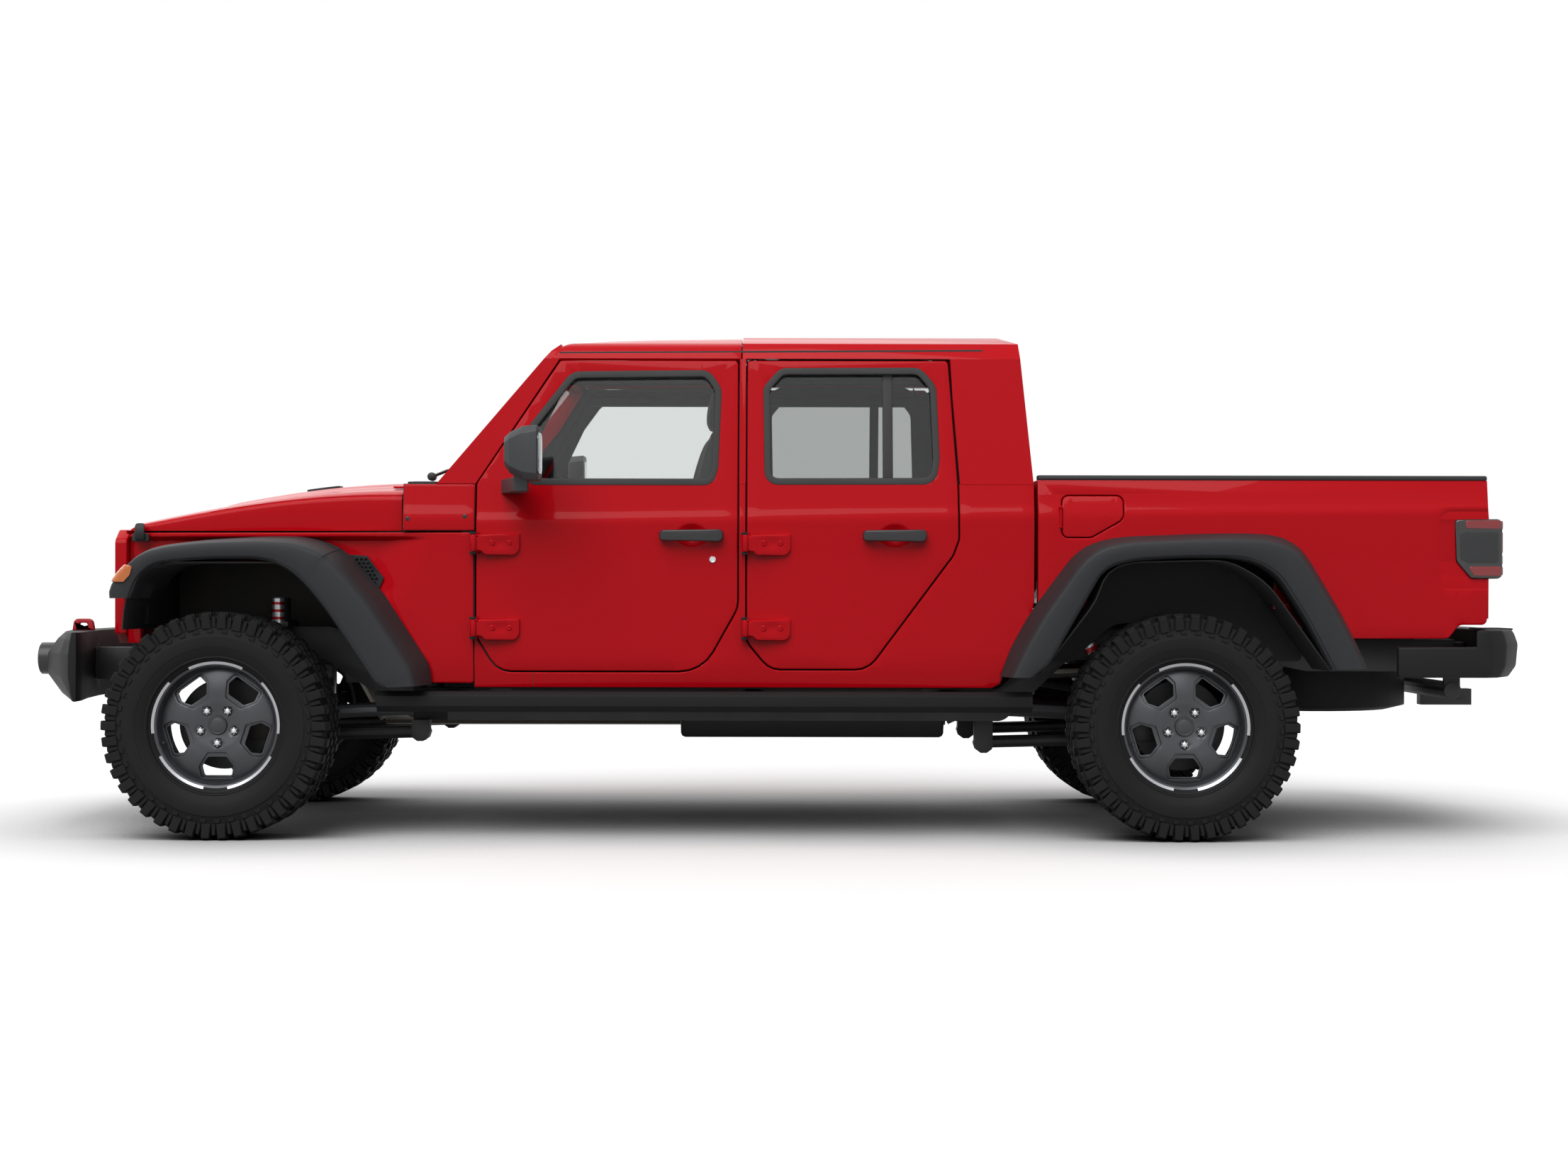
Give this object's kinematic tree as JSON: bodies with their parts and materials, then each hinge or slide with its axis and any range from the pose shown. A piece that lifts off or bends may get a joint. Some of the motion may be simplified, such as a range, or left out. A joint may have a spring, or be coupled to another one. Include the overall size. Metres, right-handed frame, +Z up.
{
  "type": "double-cab off-road pickup truck",
  "caption": "Double-cab four-wheel-drive pickup with hinged doors, hood, tailgate and fuel door, steered front wheels and four rolling wheels.",
  "frame": {"origin": "on the ground under the middle of the vehicle's overall box", "axes": "+X rearwards along the vehicle, +Y to its right-hand side, +Z up"},
  "size_m": [5.539, 2.224, 1.8658],
  "materials": {
    "body_red": "gloss red paint",
    "frame_black": "satin black chassis paint",
    "tyre": "black rubber",
    "rim_grey": "dark grey painted alloy",
    "black_plastic": "moulded black plastic",
    "clear_glass": "clear glass",
    "tinted_glass": "privacy glass",
    "lamp_lens": "clear and amber lenses",
    "lamp_red": "red lens",
    "tow_red": "red powder coat",
    "iron": "cast iron",
    "aluminium": "bare aluminium",
    "steel": "steel",
    "seat_fabric": "woven black cloth"
  },
  "bodies": {
    "chassis": {"frame": "frame_black", "front_axle": "frame_black", "rear_axle": "frame_black", "suspension_links": "frame_black", "springs_shocks": "steel", "engine_block": "iron", "driveline": "aluminium", "exhaust": "steel", "fuel_tank": "black_plastic", "spare_wheel": "tyre", "front_bumper": "black_plastic", "tow_hooks": "tow_red", "rear_bumper": "black_plastic", "hitch_receiver": "frame_black", "rock_rails": "frame_black", "body_tub": "body_red", "windshield_frame": "body_red", "windshield_glass": "clear_glass", "roof_panels": "body_red", "hardtop_rear": "body_red", "rear_window": "tinted_glass", "grille": "body_red", "front_lamps": "lamp_lens", "front_fenders": "body_red", "front_flares": "black_plastic", "bed": "body_red", "rear_flares": "black_plastic", "bed_rail_caps": "black_plastic", "tail_lamps": "lamp_red", "dashboard": "black_plastic", "seats": "seat_fabric", "roll_bar": "frame_black"},
    "hood": {"hood": "body_red"},
    "tailgate": {"tailgate": "body_red"},
    "fuel_door": {"fuel_door": "body_red"},
    "door_fl": {"door_fl": "body_red", "glass_fl": "clear_glass", "mirror_l": "black_plastic"},
    "door_fr": {"door_fr": "body_red", "glass_fr": "clear_glass", "mirror_r": "black_plastic"},
    "door_rl": {"door_rl": "body_red", "glass_rl": "tinted_glass"},
    "door_rr": {"door_rr": "body_red", "glass_rr": "tinted_glass"},
    "knuckle_l": {"knuckle_l": "iron"},
    "knuckle_r": {"knuckle_r": "iron"},
    "wheel_fl": {"tyre_fl": "tyre", "rim_fl": "rim_grey"},
    "wheel_fr": {"tyre_fr": "tyre", "rim_fr": "rim_grey"},
    "wheel_rl": {"tyre_rl": "tyre", "rim_rl": "rim_grey"},
    "wheel_rr": {"tyre_rr": "tyre", "rim_rr": "rim_grey"}
  },
  "joints": [
    {"name": "steer_left", "type": "hinge", "parent": "chassis", "child": "knuckle_l", "pos_m": [-1.9895, -0.7, 0.41], "axis": [0, 0, 1], "range_deg": [-30, 30]},
    {"name": "steer_right", "type": "hinge", "parent": "chassis", "child": "knuckle_r", "pos_m": [-1.9895, 0.7, 0.41], "axis": [0, 0, 1], "range_deg": [-30, 30]},
    {"name": "wheel_fl_spin", "type": "hinge", "parent": "knuckle_l", "child": "wheel_fl", "pos_m": [-1.9895, -0.799, 0.41], "axis": [0, 1, 0], "continuous": true},
    {"name": "wheel_fr_spin", "type": "hinge", "parent": "knuckle_r", "child": "wheel_fr", "pos_m": [-1.9895, 0.799, 0.41], "axis": [0, 1, 0], "continuous": true},
    {"name": "wheel_rl_spin", "type": "hinge", "parent": "chassis", "child": "wheel_rl", "pos_m": [1.4975, -0.799, 0.41], "axis": [0, 1, 0], "continuous": true},
    {"name": "wheel_rr_spin", "type": "hinge", "parent": "chassis", "child": "wheel_rr", "pos_m": [1.4975, 0.799, 0.41], "axis": [0, 1, 0], "continuous": true},
    {"name": "hood_hinge", "type": "hinge", "parent": "chassis", "child": "hood", "pos_m": [-1.3455, 0, 1.284], "axis": [0, 1, 0], "range_deg": [0, 50]},
    {"name": "tailgate_hinge", "type": "hinge", "parent": "chassis", "child": "tailgate", "pos_m": [2.6235, 0, 0.86], "axis": [0, 1, 0], "range_deg": [0, 90]},
    {"name": "fuel_door_hinge", "type": "hinge", "parent": "chassis", "child": "fuel_door", "pos_m": [1.0595, -0.798, 1.17], "axis": [0, 0, -1], "range_deg": [0, 100]},
    {"name": "door_fl_hinge", "type": "hinge", "parent": "chassis", "child": "door_fl", "pos_m": [-1.0745, -0.824, 0.9], "axis": [0, 0, -1], "range_deg": [0, 65]},
    {"name": "door_fr_hinge", "type": "hinge", "parent": "chassis", "child": "door_fr", "pos_m": [-1.0745, 0.824, 0.9], "axis": [0, 0, 1], "range_deg": [0, 65]},
    {"name": "door_rl_hinge", "type": "hinge", "parent": "chassis", "child": "door_rl", "pos_m": [-0.0885, -0.824, 0.9], "axis": [0, 0, -1], "range_deg": [0, 65]},
    {"name": "door_rr_hinge", "type": "hinge", "parent": "chassis", "child": "door_rr", "pos_m": [-0.0885, 0.824, 0.9], "axis": [0, 0, 1], "range_deg": [0, 65]}
  ],
  "couplings": [
    {"joint": "steer_right", "follows": "steer_left", "ratio": 1}
  ]
}
